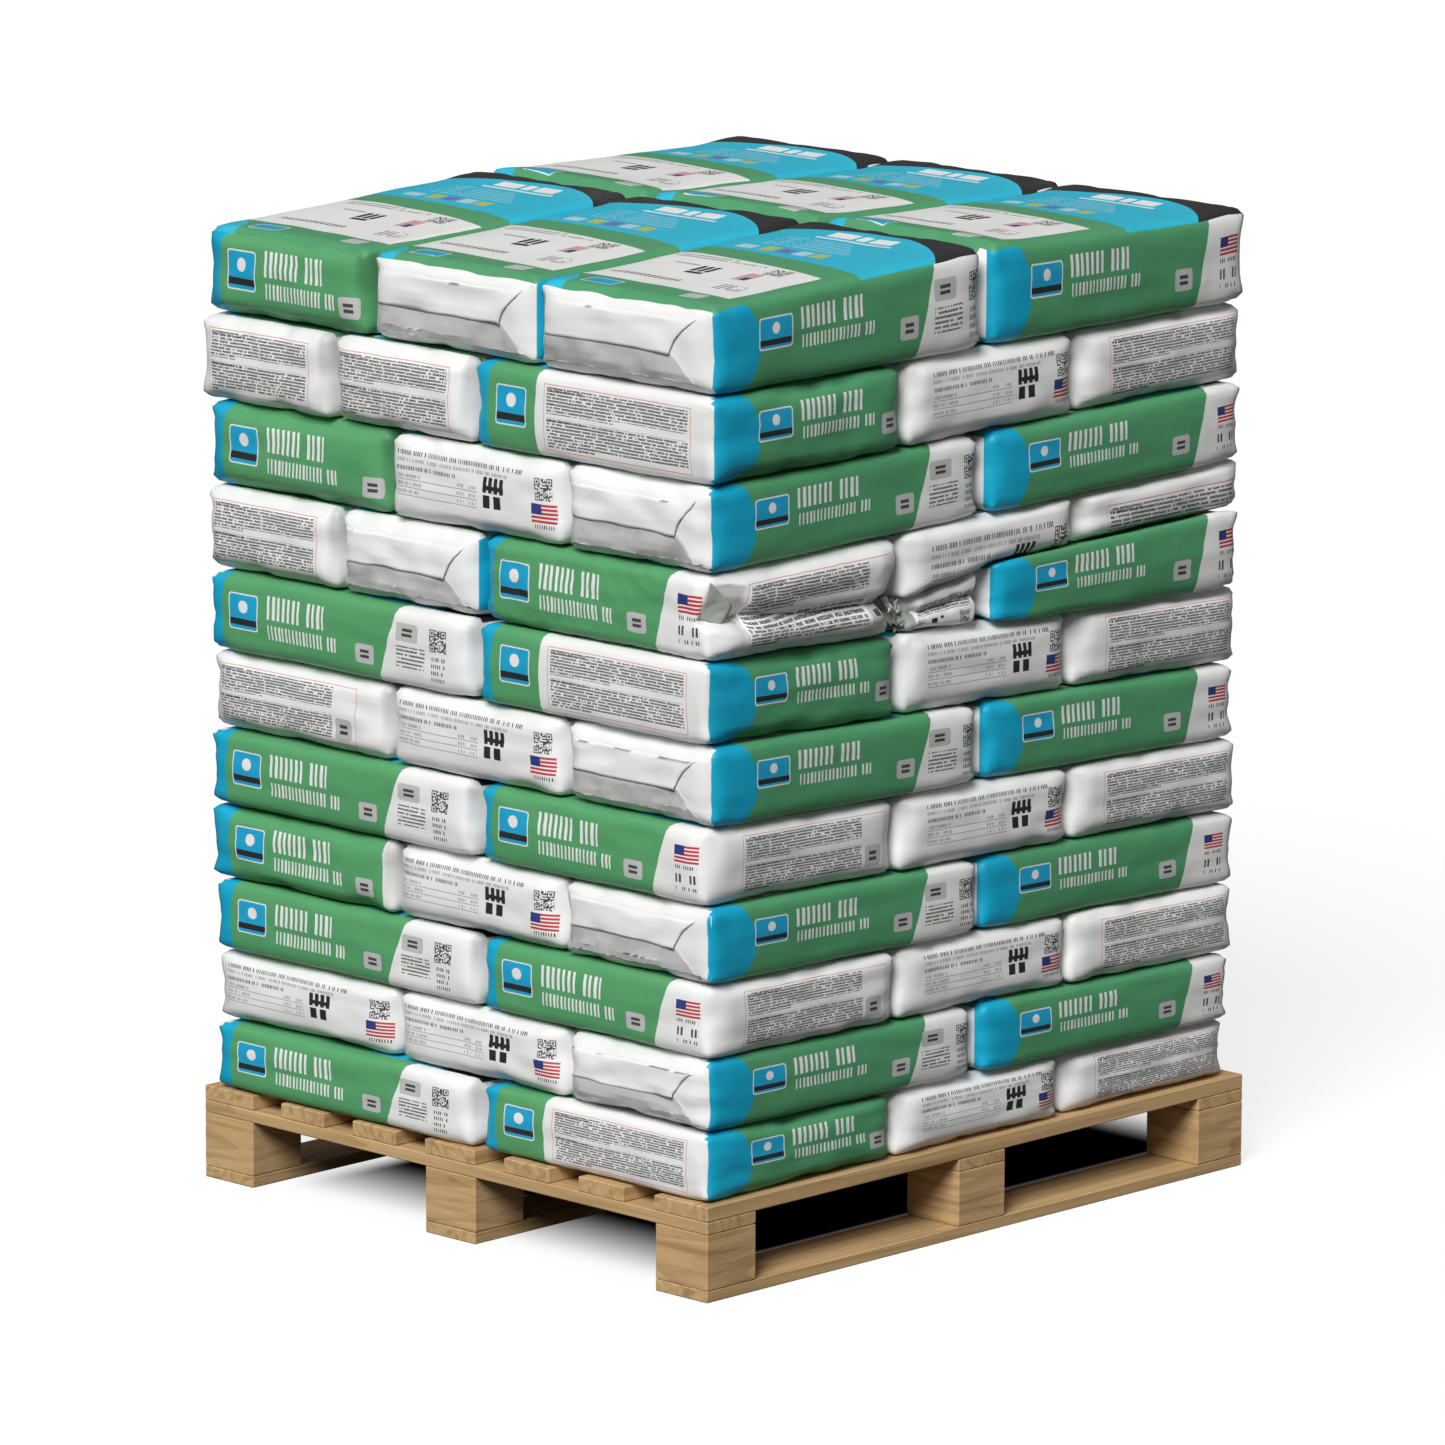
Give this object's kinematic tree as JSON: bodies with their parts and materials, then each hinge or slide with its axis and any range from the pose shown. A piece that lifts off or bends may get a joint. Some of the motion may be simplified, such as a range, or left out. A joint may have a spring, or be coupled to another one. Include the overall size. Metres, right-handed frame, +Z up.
{
  "type": "pallet of tile adhesive bags",
  "caption": "Wooden block pallet loaded with crosswise courses of filled paper bags of tile adhesive, with a burst bag and a squeezed-in bag on a side.",
  "frame": {"origin": "on the floor, under the middle of the pallet", "axes": "+Z up; +X to the right along the front of the load, where the deck boards show their ends; +Y from the front to the back, along the deck boards"},
  "size_m": [1.07, 1.174, 1.4696],
  "materials": {
    "pine": "sawn, untreated",
    "bag_paper": "printed green, blue and white, satin"
  },
  "bodies": {
    "root": {"bottom_board_left": "pine", "bottom_board_middle": "pine", "bottom_board_right": "pine", "block_front_left": "pine", "block_front_middle": "pine", "block_front_right": "pine", "block_centre_left": "pine", "block_centre_middle": "pine", "block_centre_right": "pine", "block_back_left": "pine", "block_back_middle": "pine", "block_back_right": "pine", "stringer_front": "pine", "stringer_centre": "pine", "stringer_back": "pine", "deck_board_1": "pine", "deck_board_2": "pine", "deck_board_3": "pine", "deck_board_4": "pine", "deck_board_5": "pine", "deck_board_6": "pine", "deck_board_7": "pine", "bag_course_01": "bag_paper", "bag_course_02": "bag_paper", "bag_course_03": "bag_paper", "bag_course_04": "bag_paper", "bag_course_05": "bag_paper", "bag_course_06": "bag_paper", "bag_course_07": "bag_paper", "bag_course_08": "bag_paper", "bag_course_09": "bag_paper", "bag_course_10": "bag_paper", "bag_course_11": "bag_paper", "extra_bag": "bag_paper", "burst_bag": "bag_paper"}
  },
  "joints": []
}
